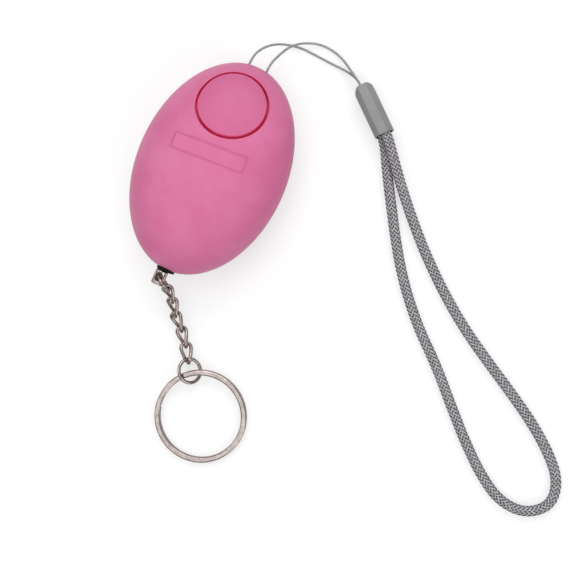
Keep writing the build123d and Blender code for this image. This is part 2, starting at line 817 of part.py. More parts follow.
def link_outline_point(index, turn):
    """A point of the link's centre line: half circles at the ends, straight sides between."""
    length, width, _ = link_sizes(index)
    straight = length - width
    around = 2 * math.pi * width + 4 * straight
    distance = (turn % 1.0) * around
    quarter = math.pi * width / 2
    if distance < quarter:
        angle = distance / width
        return -straight - width * math.cos(angle), width * math.sin(angle)
    if distance < quarter + 2 * straight:
        return distance - quarter - straight, width
    if distance < 3 * quarter + 2 * straight:
        angle = (distance - quarter - 2 * straight) / width
        return straight + width * math.sin(angle), width * math.cos(angle)
    if distance < 3 * quarter + 4 * straight:
        return straight - (distance - 3 * quarter - 2 * straight), -width
    angle = (around - distance) / width
    return -straight - width * math.cos(angle), -width * math.sin(angle)


def link_point(index, centre, turn):
    along = unit_heading(link_headings[index], link_dips[index])
    v, u = link_outline_point(index, turn)
    return centre + along * v + link_side(index, v / link_sizes(index)[0]) * u


def make_link(index, centre):
    """One link: a round wire swept along arcs that follow its twisted outline."""
    stations = 16
    step = 1e-4
    points, tangents = [], []
    for i in range(stations):
        turn = i / stations
        points.append(link_point(index, centre, turn))
        ahead = link_point(index, centre, turn + step)
        behind = link_point(index, centre, turn - step)
        tangents.append((ahead - behind).normalized())
    halves = []
    for start in (0, stations // 2):
        edges = []
        for i in range(start, start + stations // 2):
            j = (i + 1) % stations
            edges += biarc(points[i], tangents[i], points[j], tangents[j])
        section = Plane(origin=points[start], z_dir=tangents[start]) * Circle(chain_wire_radius)
        halves.append(sweep(section, path=Wire(edges)))
    return halves[0] + halves[1]


def ring_frames():
    """Where the small ring and the key ring lie, from the last link's end."""
    directions, _, ends = chain_centres()
    away = unit_heading(small_ring_heading)
    meeting = (directions[-1] + away).normalized()
    touch = ends[-1] - meeting * (chain_wire_radius + small_ring_wire_radius + chain_gap)
    small_centre = touch + away * small_ring_radius
    tilt = math.radians(small_ring_tilt)
    level = unit_heading(small_ring_heading + 90.0)
    rise = level * math.cos(tilt) - Vector(0, 0, 1) * math.sin(tilt)
    key_away = unit_heading(key_ring_heading)
    near = small_centre - key_away * key_ring_overlap
    mean_radius = (key_ring_outer_diameter - key_ring_wire_width) / 2
    half_height = key_ring_wire_height + key_ring_turn_gap / 2
    slope = math.asin((small_centre.Z - half_height) / (2 * mean_radius))
    fall = key_away * math.cos(slope) - Vector(0, 0, 1) * math.sin(slope)
    key_centre = near + fall * mean_radius
    return small_centre, away, rise, key_centre, fall, unit_heading(key_ring_heading + 90.0), near


def make_small_ring():
    small_centre, away, rise, *_ = ring_frames()
    flat = Plane(origin=small_centre, x_dir=away, z_dir=away.cross(rise))
    return flat * Torus(small_ring_radius, small_ring_wire_radius)


def make_key_ring():
    """A flat wire in two turns, one over the other, with a jog between them."""
    *_, key_centre, fall, across, _ = ring_frames()
    mean_radius = (key_ring_outer_diameter - key_ring_wire_width) / 2
    half_pitch = (key_ring_wire_height + key_ring_turn_gap) / 2
    turn = 360.0 - key_ring_jog_angle
    profile = RectangleRounded(key_ring_wire_width, key_ring_wire_height, key_ring_round)

    def section(angle, height):
        a = math.radians(angle)
        outward = Vector(math.cos(a), math.sin(a), 0)
        origin = outward * mean_radius + Vector(0, 0, height)
        return Plane(origin=origin, x_dir=outward, z_dir=(-math.sin(a), math.cos(a), 0)) * profile

    ring = revolve(section(key_ring_jog_start, -half_pitch), Axis.Z, revolution_arc=turn)
    ring += revolve(section(key_ring_jog_start, half_pitch), Axis.Z, revolution_arc=turn)
    steps = 6
    rise = []
    for i in range(steps + 1):
        share = i / steps
        height = -half_pitch * math.cos(math.pi * share)
        rise.append(section(key_ring_jog_start - key_ring_jog_angle * (1 - share), height))
    ring += loft(rise)
    seat = Plane(origin=key_centre, x_dir=fall, z_dir=fall.cross(across))
    return seat * ring


# The strap

def make_strap_bight():
    """The strap cord where it goes in at one hole, round the post and out at the other."""
    low = Vector(-strap_hole_x, strap_exit_y, seam_z)
    high = Vector(strap_hole_x, strap_exit_y, seam_z)
    left = Vector(-strap_hole_x, strap_post_y, seam_z)
    right = Vector(strap_hole_x, strap_post_y, seam_z)
    path = Wire([Edge.make_line(low, left),
                 Edge.make_tangent_arc(left, Vector(0, -1, 0), right),
                 Edge.make_line(right, high)])
    start = Plane(origin=low, z_dir=(0, -1, 0))
    return sweep(start * Circle(strap_cord_radius), path=path)


strap_shift = strap_exit_y - left_cord_route[0][1]
clamp_plane = Plane((clamp_start[0], clamp_start[1] + strap_shift, clamp_height / 2),
                    x_dir=-unit_heading(clamp_heading - 90.0), z_dir=unit_heading(clamp_heading))


def make_strap_clamp():
    """The moulded sleeve: bevelled sides, round shoulders at the cord's end, a mouth for the loop."""
    body = extrude(chamfer(Rectangle(clamp_width, clamp_height).vertices(), clamp_chamfer),
                   amount=clamp_length)
    side = clamp_width / 2
    left_top, left_down = clamp_left_shoulder[0] - side, clamp_left_shoulder[1]
    right_top, right_down = side - clamp_right_shoulder[0], clamp_right_shoulder[1]
    with BuildSketch(Plane.XZ) as outline:
        with BuildLine():
            Line((left_top, 0), (right_top, 0))
            TangentArc((right_top, 0), (side, right_down), tangent=(1, clamp_shoulder_slope))
            Line((side, right_down), (side, clamp_length))
            Line((side, clamp_length), (-side, clamp_length))
            Line((-side, clamp_length), (-side, left_down))
            TangentArc((left_top, 0), (-side, left_down), tangent=(-1, clamp_shoulder_slope))
        make_face()
    body = body & extrude(outline.sketch, amount=clamp_height, both=True)
    pocket = RectangleRounded(clamp_width - 2 * clamp_wall, clamp_height - 2 * clamp_wall,
                              clamp_pocket_round)
    floor = clamp_length - clamp_pocket_depth
    body -= Location((0, 0, floor)) * extrude(pocket, amount=clamp_pocket_depth)
    slot_radius = strap_cord_radius + clamp_cord_clearance
    slot = SlotCenterToCenter(right_cord_clamp_z - left_cord_clamp_z, 2 * slot_radius, rotation=90)
    slot_middle = (left_cord_clamp_z + right_cord_clamp_z) / 2 - clamp_height / 2
    body -= Location((clamp_cord_side, slot_middle, 0)) * extrude(slot, amount=clamp_cord_slot_depth)
    return clamp_plane * body


def build_parts():
    gasket, brass, ceramic = make_sounder()
    coil_core, coil_winding = make_coil()
    parts = {
        "front_shell": make_front_shell(),
        "rear_shell": make_rear_shell(),
        "push_button": make_push_button(),
        "circuit_board": make_circuit_board(),
        "case_screws": make_case_screws(),
        "board_screws": make_board_screws(),
        "switch_body": make_switch_body(),
        "switch_cover": make_switch_cover(),
        "switch_plunger": make_switch_plunger(),
        "sounder_gasket": gasket,
        "sounder_disc": brass,
        "sounder_ceramic": ceramic,
        "cell_tray": make_cell_tray(),
        "cell_contact_positive": make_cell_contact(1),
        "cell_contact_negative": make_cell_contact(-1),
        "cell_pad": make_cell_pad(),
        "cell_lead_positive": make_cell_lead(1),
        "cell_lead_negative": make_cell_lead(-1),
        "sounder_lead_disc": make_sounder_lead(disc_lead_foot, disc_lead_head, brass_top),
        "sounder_lead_ceramic": make_sounder_lead(ceramic_lead_foot, ceramic_lead_head, ceramic_top),
        "pin_socket": make_pin_socket(),
        "pull_pin": make_pull_pin(),
        "pin_insulating_tip": make_pin_tip(),
        "contact_block": make_contact_block(),
        "pin_contact_left": make_pin_contact(-1),
        "pin_contact_right": make_pin_contact(1),
        "booster_coil_core": coil_core,
        "booster_coil_winding": coil_winding,
        "control_chip": make_control_chip(),
        "transistor": make_transistor(),
        "resistors": make_resistors(),
        "capacitor": make_capacitor(),
        "small_ring": make_small_ring(),
        "key_ring": make_key_ring(),
        "strap_bight": make_strap_bight(),
        "strap_cord_left": place(0, strap_shift, 0) * tube_along(left_cord_route, strap_cord_radius),
        "strap_cord_right": place(0, strap_shift, 0) * tube_along(right_cord_route, strap_cord_radius),
        "strap_clamp": make_strap_clamp(),
        "wrist_loop": place(0, strap_shift, 0) * tube_along(loop_route, loop_radius),
    }
    for i in range(cell_count):
        parts[f"button_cell_{i + 1}"] = make_cell(i)
    _, centres, _ = chain_centres()
    for i in range(link_count):
        parts[f"chain_link_{i + 1}"] = make_link(i, centres[i])
    return parts


os.makedirs("parts", exist_ok=True)
for name, shape in build_parts().items():
    solids = shape if isinstance(shape, list) else [shape]
    group = [solid for item in solids for solid in item.solids()]
    whole = group[0] if len(group) == 1 else Compound(children=group)
    export_step(whole, f"parts/{name}.step")
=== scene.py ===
# Personal safety alarm: the look of its plastic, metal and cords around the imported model.
# Sizes are in millimetres and become metres through MM.

import math

import bpy
import numpy as np
from mathutils import Matrix, Vector


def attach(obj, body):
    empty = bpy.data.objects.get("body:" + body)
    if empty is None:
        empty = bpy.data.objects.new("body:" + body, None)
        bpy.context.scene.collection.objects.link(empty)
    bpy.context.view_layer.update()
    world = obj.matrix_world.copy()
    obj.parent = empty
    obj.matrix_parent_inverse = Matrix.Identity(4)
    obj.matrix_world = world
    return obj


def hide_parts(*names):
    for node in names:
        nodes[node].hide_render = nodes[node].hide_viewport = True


MM = 0.001
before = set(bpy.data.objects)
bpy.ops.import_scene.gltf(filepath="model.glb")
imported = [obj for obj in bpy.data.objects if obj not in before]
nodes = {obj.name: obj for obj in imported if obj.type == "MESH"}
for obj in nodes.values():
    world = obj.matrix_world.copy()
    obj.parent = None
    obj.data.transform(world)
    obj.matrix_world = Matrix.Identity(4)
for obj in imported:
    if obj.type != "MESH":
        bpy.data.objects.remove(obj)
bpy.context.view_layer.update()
scene = bpy.context.scene

# The photograph's frame in pixels, and the camera that took it, with its turn in degrees
frame_side = 576.0
camera_focal_pixels = 1471.69
camera_place = (90.9, 0.0, 420.04)
camera_target = (33.37, -21.66, 5.0)
camera_roll = 24.815
camera_sensor = 36.0
camera_near = 10.0
camera_far = 20000.0

# The egg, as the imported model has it, with the lean of its button in degrees
seam_height = 10.5
egg_half_width = 21.7
egg_half_length = 31.5
front_depth = 14.5
button_centre = (0.0, 18.9, 22.1)
button_lean = 22.0
groove_radius = 9.93
chain_link_count = 6
button_cell_count = 3

# Where the egg's colour changes: how far from the groove's middle the painted highlight on the rims is
# gone and is full, how far from the seam its line is gone and is full, and how far over the seam the
# groove's painted glow and the plaque's painted shade start and are full
rim_highlight_fade = (0.76, 0.42)
seam_fade = (0.14, 0.05)
front_fade = (0.2, 1.0)

# The same for the groove's painted glow, below the egg's own surface, and the plaque's painted shade
# above it, as shares of the surface's distance
groove_glow_fade_shares = (0.9985, 0.988)
plaque_shade_fade_shares = (1.001, 1.006)

# The cords: diameter, strands that turn each way, the length of a full turn over their number, the step
# from one ring of corners to the next along each strand, and the corners of a ring
strap_cord_diameter = 0.7
strap_strands = 4
strap_pitch = 0.62
strap_step = 0.09
strap_corners = 6
wrist_loop_diameter = 3.1
loop_strands = 8
loop_pitch = 1.28
loop_step = 0.26
loop_corners = 8
core_corners = 12
core_step_multiple = 4
fewest_steps = 8
curve_steps = 24

# The strands of a braid: shares of its diameter and of the room round it, how flat their crests are
# and where in a turn they lie, and how their tones differ
strand_lift_share = 0.085
strand_thickness_share = 0.062
strand_width_share = 0.42
crest_flatness = 1.7
crest_phase = 0.125
tone_seed = 7
tone_spread = 0.35
tone_between_ways = 0.12

left_cord_route = [
    (-2.75, 31.0, 10.5), (-2.75, 33.8, 10.5), (-1.9, 36.8, 8.4), (-0.4, 39.5, 4.7), (2.2, 41.4, 1.3),
    (6.4, 42.4, 0.45), (11.5, 42.2, 0.45), (17.0, 41.8, 0.5), (21.5, 41.6, 1.1), (25.1, 40.9, 2.2),
    (27.81, 39.29, 2.95), (29.87, 37.56, 2.95)]
right_cord_route = [
    (2.75, 31.0, 10.5), (2.75, 33.6, 10.5), (3.4, 36.6, 8.8), (4.0, 39.6, 5.6), (5.1, 42.1, 2.9),
    (7.6, 44.1, 1.6), (11.4, 45.5, 0.8), (15.3, 45.5, 0.5), (19.4, 44.3, 1.2), (23.5, 41.9, 2.9),
    (27.81, 39.29, 3.95), (29.87, 37.56, 3.95)]
loop_route = [
    (36.35, 31.61, 2.02), (40.19, 28.39, 2.02), (44.6, 20.4, 1.6), (50.2, 11.4, 1.6), (57.0, 0.8, 1.6),
    (63.5, -7.8, 1.6), (71.7, -16.4, 1.6), (80.4, -23.6, 1.6), (88.8, -31.9, 1.6),
    (96.8, -39.6, 1.6), (104.9, -46.3, 1.6), (112.5, -50.7, 1.6), (120.5, -50.8, 1.6),
    (126.1, -45.6, 1.6), (124.8, -38.4, 1.6), (119.3, -32.6, 1.6), (111.4, -26.8, 1.6),
    (102.2, -21.5, 1.6), (91.7, -15.8, 1.6), (82.0, -10.1, 1.6), (72.3, -3.0, 1.6),
    (63.5, 4.5, 1.6), (56.2, 11.7, 2.0), (50.0, 18.4, 3.1), (45.0, 24.3, 4.3),
    (40.95, 29.31, 4.98), (37.12, 32.52, 4.98)]

# The floor and the studio: the ramp's ends are heights on the unit sphere of directions
floor_half_side = 3000.0
floor_drop = 0.02
floor_colour = (0.45, 0.45, 0.45)
floor_glow = 0.56
wall_colour = (0.14, 0.125, 0.12)
ceiling_colour = (1.0, 1.0, 1.0)
wall_end = 0.05
ceiling_start = 0.75
world_strength = 0.5

# The lamps: each one's place, its width and depth, and its power in watts
lamp_target = (30.0, -10.0, 0.0)
lamps = {
    "overhead_lamp": ((-100.0, -50.0, 950.0), (900.0, 800.0), 2.4),
    "key_lamp": ((-150.0, 750.0, 750.0), (900.0, 600.0), 4.8),
    "fill_lamp": ((750.0, -350.0, 600.0), (700.0, 700.0), 3.2),
    "side_lamp": ((-750.0, -250.0, 500.0), (600.0, 600.0), 1.2)}


# Camera

def make_camera():
    data = bpy.data.cameras.new("camera")
    data.sensor_fit = "HORIZONTAL"
    data.sensor_width = camera_sensor
    data.lens = camera_sensor * camera_focal_pixels / frame_side
    data.clip_start = camera_near * MM
    data.clip_end = camera_far * MM
    camera = bpy.data.objects.new("camera", data)
    scene.collection.objects.link(camera)
    place = Vector(camera_place) * MM
    target = Vector(camera_target) * MM
    look = (target - place).normalized()
    level_up = Vector((0, 1, 0))
    level_up = (level_up - look * level_up.dot(look)).normalized()
    level_right = look.cross(level_up)
    roll = math.radians(camera_roll)
    up = level_up * math.cos(roll) - level_right * math.sin(roll)
    right = level_right * math.cos(roll) + level_up * math.sin(roll)
    turned = Matrix((right, up, -look)).transposed().to_4x4()
    camera.matrix_world = Matrix.Translation(place) @ turned
    scene.camera = camera


# Materials

class Surface:
    """One node material: a principled shader with helpers for what feeds it."""

    def __init__(self, name):
        self.material = bpy.data.materials.new(name)
        self.material.use_nodes = True
        self.tree = self.material.node_tree
        self.tree.nodes.clear()
        out = self.node("ShaderNodeOutputMaterial")
        self.shader = self.node("ShaderNodeBsdfPrincipled")
        self.link(self.shader.outputs[0], out.inputs[0])
        coordinates = self.node("ShaderNodeTexCoord")
        self.place = coordinates.outputs["Object"]
        self.uv = coordinates.outputs["UV"]

    def node(self, kind, **settings):
        made = self.tree.nodes.new(kind)
        for key, value in settings.items():
            setattr(made, key, value)
        return made

    def link(self, source, socket):
        self.tree.links.new(source, socket)

    def feed(self, socket, value):
        """Links a socket to another node's output, or sets it to a plain value."""
        if isinstance(value, bpy.types.NodeSocket):
            self.link(value, socket)
        elif socket.type == "RGBA":
            socket.default_value = (*value, 1.0)
        else:
            socket.default_value = value

    def set(self, **values):
        """Sets the shader's own sockets: words_like_this name the socket Words Like This."""
        sockets = {socket.name.lower().replace(" ", "_"): socket for socket in self.shader.inputs}
        for name, value in values.items():
            self.feed(sockets[name], value)
        return self

    def math(self, operation, first, second=0.0):
        made = self.node("ShaderNodeMath", operation=operation)
        self.feed(made.inputs[0], first)
        self.feed(made.inputs[1], second)
        return made.outputs[0]

    def plus(self, first, second):
        return self.math("ADD", first, second)

    def times(self, first, second):
        return self.math("MULTIPLY", first, second)

    def rest_of(self, share):
        """What a share leaves of 1."""
        return self.math("SUBTRACT", 1.0, share)

    def apart(self, first, second):
        """How far two numbers are apart."""
        return self.math("ABSOLUTE", self.math("SUBTRACT", first, second))

    def wave(self, half_turns):
        """Runs from 0 to 1 and back for each half turn."""
        return self.math("ABSOLUTE", self.math("SINE", self.times(half_turns, math.pi)))

    def vector_math(self, operation, first, second=(0.0, 0.0, 0.0), output="Vector"):
        made = self.node("ShaderNodeVectorMath", operation=operation)
        self.feed(made.inputs[0], first)
        self.feed(made.inputs[1], second)
        return made.outputs[output]

    def length_of(self, vector):
        return self.vector_math("LENGTH", vector, output="Value")

    def between(self, value, low, high):
        """Runs smoothly from 0 at low to 1 at high."""
        made = self.node("ShaderNodeMapRange", interpolation_type="SMOOTHSTEP")
        self.feed(made.inputs["Value"], value)
        self.feed(made.inputs["From Min"], low)
        self.feed(made.inputs["From Max"], high)
        return made.outputs["Result"]

    def scaled(self, value, low, high, to_low, to_high):
        """Runs straight from to_low at low to to_high at high."""
        made = self.node("ShaderNodeMapRange")
        for name, number in (("Value", value), ("From Min", low), ("From Max", high),
                             ("To Min", to_low), ("To Max", to_high)):
            self.feed(made.inputs[name], number)
        return made.outputs["Result"]

    def noise(self, size, detail=2.0, roughness=0.5, stretch=None):
        """Noise with features of about the given size in millimetres."""
        source = self.place
        if stretch is not None:
            source = self.vector_math("MULTIPLY", source, stretch)
        made = self.node("ShaderNodeTexNoise")
        self.link(source, made.inputs["Vector"])
        made.inputs["Scale"].default_value = 1 / (size * MM)
        made.inputs["Detail"].default_value = detail
        made.inputs["Roughness"].default_value = roughness
        return made.outputs["Fac"]

    def speckle(self, size):
        """The distance to the nearest of many points, which lie about the given size apart."""
        made = self.node("ShaderNodeTexVoronoi")
        self.link(self.place, made.inputs["Vector"])
        made.inputs["Scale"].default_value = 1 / (size * MM)
        return made.outputs["Distance"]

    def mix(self, share, first, second):
        made = self.node("ShaderNodeMix", data_type="RGBA")
        self.feed(made.inputs["Factor"], share)
        self.feed(made.inputs[6], first)
        self.feed(made.inputs[7], second)
        return made.outputs[2]

    def bump(self, height, depth, normal=None):
        """Bump of the given depth in millimetres, for a height that runs from 0 to 1."""
        made = self.node("ShaderNodeBump")
        made.inputs["Strength"].default_value = 1.0
        made.inputs["Distance"].default_value = depth * MM
        self.link(height, made.inputs["Height"])
        if normal is not None:
            self.link(normal, made.inputs["Normal"])
        return made.outputs[0]

    def parts_of(self, vector):
        made = self.node("ShaderNodeSeparateXYZ")
        self.link(vector, made.inputs[0])
        return made.outputs


def scaled_colour(colour, share):
    return tuple(channel * share for channel in colour)


def rim_highlight_mask(s):
    """1 at the two rounded rims beside the button's groove, where the painted highlight goes."""
    lean = math.radians(button_lean)
    axis = (0.0, math.sin(lean), math.cos(lean))
    from_centre = s.vector_math("SUBTRACT", s.place, tuple(Vector(button_centre) * MM))
    off_axis = s.length_of(s.vector_math("CROSS_PRODUCT", from_centre, axis))
    off_groove = s.apart(off_axis, groove_radius * MM)
    gone, full = rim_highlight_fade
    return s.between(off_groove, gone * MM, full * MM)


def pink_shell():
    """Satin pink plastic, deeper along the seam; a deeper red painted glow in the groove round the
    button, a painted highlight on its rims and painted shade on the plaque's lines.
    """
    cloud_size, blotch_size, patch_size, scuff_size = 14.0, 3.0, 5.0, 1.2
    grain_size, grain_depth = 0.55, 0.010
    ripple_size, ripple_depth = 2.5, 0.016
    seam_depth, light_depth = 0.06, 1.6
    base, pale, deep = (0.655, 0.15, 0.315), (0.69, 0.185, 0.36), (0.59, 0.11, 0.265)
    # groove is a painted glow, a bright red for light scattered through the plastic where the groove
    # lies in shade; the rims beside it get a painted highlight
    groove, rim_highlight = (0.85, 0.075, 0.26), (0.82, 0.13, 0.28)

    s = Surface("pink_shell")
    middle = (0.0, 0.0, seam_height * MM)
    semi_axes = (egg_half_width * MM, egg_half_length * MM, front_depth * MM)
    from_middle = s.vector_math("SUBTRACT", s.place, middle)
    reach = s.length_of(s.vector_math("DIVIDE", from_middle, semi_axes))
    height = s.parts_of(s.place)[2]
    start, full = front_fade
    above = s.between(height, (seam_height + start) * MM, (seam_height + full) * MM)
    groove_glow_share = s.times(s.between(reach, *groove_glow_fade_shares), above)
    plaque_shade_share = s.times(s.between(reach, *plaque_shade_fade_shares), above)
    gone, full = seam_fade
    on_seam = s.between(s.apart(height, seam_height * MM), gone * MM, full * MM)

    colour = s.mix(s.between(s.noise(cloud_size, 3.0), 0.35, 0.65), base, pale)
    blotch = s.between(s.noise(blotch_size, 5.0), 0.55, 0.8)
    colour = s.mix(s.times(blotch, 0.35), colour, deep)
    colour = s.mix(s.times(on_seam, 0.8), colour, scaled_colour(deep, 0.3))
    # Painted shade on the plaque's lines, painted highlight on the rims by the groove, painted glow in
    # the groove itself
    colour = s.mix(s.times(plaque_shade_share, 0.6), colour, deep)
    colour = s.mix(s.times(rim_highlight_mask(s), s.times(above, 0.8)), colour, rim_highlight)
    colour = s.mix(groove_glow_share, colour, groove)

    scuff = s.between(s.noise(scuff_size, 8.0, 0.7, stretch=(1.0, 0.25, 1.0)), 0.62, 0.75)
    gloss = s.scaled(s.noise(patch_size, 6.0, 0.65), 0.3, 0.7, 0.40, 0.50)
    gloss = s.plus(gloss, s.times(scuff, 0.12))
    relief = s.bump(s.noise(grain_size, 4.0, 0.6), grain_depth)
    relief = s.bump(s.noise(ripple_size, 3.0), ripple_depth, normal=relief)
    relief = s.bump(s.rest_of(on_seam), seam_depth, normal=relief)
    return s.set(base_color=colour, roughness=gloss, ior=1.5, specular_ior_level=0.36,
                 subsurface_weight=0.15, subsurface_radius=(1.0, 0.25, 0.35),
                 subsurface_scale=light_depth * MM, normal=relief).material


def moulded(name, colour, roughness, grain_size=0.5, grain_depth=0.012, spread=0.12, subsurface=0.0,
            shine=0.45):
    """Moulded plastic with a fine grain, faint clouds and handling marks."""
    cloud_size, mark_size, patch_size = 4.0, 0.9, 2.0
    ripple_size, ripple_depth = 3.0, 0.02
    light_depth = 1.0
    s = Surface(name)
    cloud = s.between(s.noise(cloud_size, 5.0), 0.3, 0.7)
    shade = s.mix(cloud, scaled_colour(colour, 1 - spread), scaled_colour(colour, 1 + spread))
    marks = s.between(s.noise(mark_size, 8.0, 0.7), 0.6, 0.78)
    shade = s.mix(s.times(marks, 0.25), shade, scaled_colour(colour, 0.75))
    patches = s.scaled(s.noise(patch_size, 6.0), 0.3, 0.7, roughness - 0.06, roughness + 0.06)
    gloss = s.plus(patches, s.times(marks, 0.1))
    relief = s.bump(s.noise(grain_size, 4.0, 0.6), grain_depth)
    relief = s.bump(s.noise(ripple_size, 2.0), ripple_depth, normal=relief)
    s.set(base_color=shade, roughness=gloss, ior=1.48, specular_ior_level=shine, normal=relief)
    if subsurface:
        s.set(subsurface_weight=subsurface, subsurface_radius=(1.0, 0.9, 0.85),
              subsurface_scale=light_depth * MM)
    return s.material


def plated(name, colour, tarnish, roughness, streak_depth=0.002):
    """Plated or bare metal with fine drawing lines, tarnish and small pits, and a dark edge tint that is
    partly tarnish and partly painted shade.
    """
    cloud_size, streak_size = 1.6, 0.16
    pit_size, pit_depth = 0.55, 0.003
    dent_size, dent_depth = 1.1, 0.0015
    # Partly tarnish, partly painted shade: the dark edge tint darkens the metal at grazing angles, for
    # the dark surroundings its rims would reflect
    tarnish_and_shade_edge_tint = (0.42, 0.35, 0.34)
    s = Surface(name)
    clouds = s.between(s.noise(cloud_size, 6.0, 0.65), 0.36, 0.66)
    pits = s.between(s.speckle(pit_size), 0.10, 0.04)
    shade = s.mix(s.times(clouds, 0.4), colour, tarnish)
    shade = s.mix(s.times(pits, 0.6), shade, scaled_colour(tarnish, 0.5))
    gloss = s.scaled(clouds, 0.0, 1.0, roughness, roughness + 0.14)
    gloss = s.plus(gloss, s.times(pits, 0.2))
    relief = s.bump(s.noise(streak_size, 6.0, 0.7), streak_depth)
    relief = s.bump(s.noise(dent_size, 3.0), dent_depth, normal=relief)
    relief = s.bump(s.rest_of(pits), pit_depth, normal=relief)
    return s.set(base_color=shade, metallic=1.0, roughness=gloss, specular_tint=tarnish_and_shade_edge_tint,
                 normal=relief).material


def yarn(name, light, dark, ends=4.0):
    """Yarn of a braid: several ends side by side along each strand, with loose fibres, random tones and
    painted shade along each strand's edges.
    """
    twist_rate = 0.9
    ridge_depth = 0.035
    fuzz_size, fuzz_depth = 0.12, 0.02
    soil_size = 9.0
    s = Surface(name)
    along, across, _ = s.parts_of(s.uv)
    ridge = s.wave(s.plus(s.times(across, 2 * ends), s.times(along, twist_rate)))
    on_strand = s.between(s.wave(s.times(across, 2)), 0.40, 0.99)
    tone = s.node("ShaderNodeAttribute", attribute_name="tone").outputs["Fac"]
    fuzz = s.noise(fuzz_size, 5.0, 0.7)
    soil = s.between(s.noise(soil_size, 4.0), 0.45, 0.75)
    shade = s.mix(s.between(ridge, 0.05, 0.75), scaled_colour(light, 0.62), light)
    # Painted shade: each strand's edges take the dark colour, for the shade in the gaps between strands;
    # the same dark colour also gives the strands their random tones
    shade = s.mix(on_strand, dark, shade)
    shade = s.mix(s.times(s.between(fuzz, 0.45, 0.8), 0.35), shade, scaled_colour(light, 1.18))
    shade = s.mix(s.times(tone, 0.8), shade, dark)
    shade = s.mix(s.times(soil, 0.2), shade, scaled_colour(light, 0.7))
    relief = s.bump(ridge, ridge_depth)
    relief = s.bump(fuzz, fuzz_depth, normal=relief)
    return s.set(base_color=shade, roughness=0.62, sheen_weight=0.06, sheen_roughness=0.4,
                 specular_ior_level=0.35, normal=relief).material


def shade_core(name, colour):
    """Painted shade: a near-black filling of a braid, seen as shade in the gaps between its strands."""
    speck_size = 0.25
    fibre_size, fibre_depth = 0.2, 0.05
    s = Surface(name)
    shade = s.mix(s.noise(speck_size, 4.0), scaled_colour(colour, 0.6), scaled_colour(colour, 1.4))
    relief = s.bump(s.noise(fibre_size, 3.0), fibre_depth)
    return s.set(base_color=shade, roughness=0.9, specular_ior_level=0.1, normal=relief).material


def twisted_yarn(name, colour):
    """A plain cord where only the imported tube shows, with a fine twist round it."""
    twist_scale, twist_unevenness = 420.0, 1.5
    ridge_depth = 0.05
    s = Surface(name)
    twist = s.node("ShaderNodeTexWave", wave_type="BANDS", bands_direction="DIAGONAL")
    s.link(s.place, twist.inputs["Vector"])
    twist.inputs["Scale"].default_value = twist_scale
    twist.inputs["Distortion"].default_value = twist_unevenness
    ridge = twist.outputs["Fac"]
    shade = s.mix(ridge, scaled_colour(colour, 0.6), scaled_colour(colour, 1.15))
    return s.set(base_color=shade, roughness=0.75, sheen_weight=0.2,
                 normal=s.bump(ridge, ridge_depth)).material


def circuit_board():
    """Green solder mask over faint tracks on woven glass."""
    weave_scale, track_scale, track_gap_share = 1400.0, 160.0, 0.06
    track_depth = 0.03
    patch_size = 1.5
    s = Surface("solder_mask")
    weave = s.node("ShaderNodeTexChecker")
    s.link(s.place, weave.inputs["Vector"])
    weave.inputs["Scale"].default_value = weave_scale
    tracks = s.node("ShaderNodeTexBrick")
    s.link(s.place, tracks.inputs["Vector"])
    tracks.inputs["Scale"].default_value = track_scale
    tracks.inputs["Mortar Size"].default_value = track_gap_share
    shade = s.mix(tracks.outputs["Fac"], (0.015, 0.13, 0.05), (0.03, 0.22, 0.09))
    shade = s.mix(s.times(weave.outputs["Fac"], 0.12), shade, (0.05, 0.28, 0.13))
    gloss = s.scaled(s.noise(patch_size, 4.0), 0.3, 0.7, 0.25, 0.4)
    return s.set(base_color=shade, roughness=gloss, coat_weight=0.4,
                 normal=s.bump(tracks.outputs["Fac"], track_depth)).material


def foam(name, colour):
    """Open foam: a dark cellular surface."""
    cell_size, cell_depth = 0.45, 0.12
    s = Surface(name)
    cells = s.speckle(cell_size)
    shade = s.mix(s.between(cells, 0.1, 0.5), scaled_colour(colour, 0.4), colour)
    return s.set(base_color=shade, roughness=0.95, specular_ior_level=0.15,
                 normal=s.bump(cells, cell_depth)).material


def winding():
    """Fine enamelled wire in close turns."""
    turn_scale = 1500.0
    wire_depth = 0.05
    s = Surface("enamelled_wire")
    turns = s.node("ShaderNodeTexWave", wave_type="BANDS", bands_direction="Z")
    s.link(s.place, turns.inputs["Vector"])
    turns.inputs["Scale"].default_value = turn_scale
    ridge = turns.outputs["Fac"]
    shade = s.mix(ridge, (0.25, 0.07, 0.02), (0.62, 0.24, 0.09))
    return s.set(base_color=shade, metallic=0.9, roughness=s.scaled(ridge, 0.0, 1.0, 0.5, 0.28),
                 coat_weight=0.5, normal=s.bump(ridge, wire_depth)).material


def paint(material, *names):
    """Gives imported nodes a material."""
    for name in names:
        mesh = nodes[name].data
        mesh.materials.clear()
        mesh.materials.append(material)


def numbered(name, count):
    return [f"{name}_{number}" for number in range(1, count + 1)]


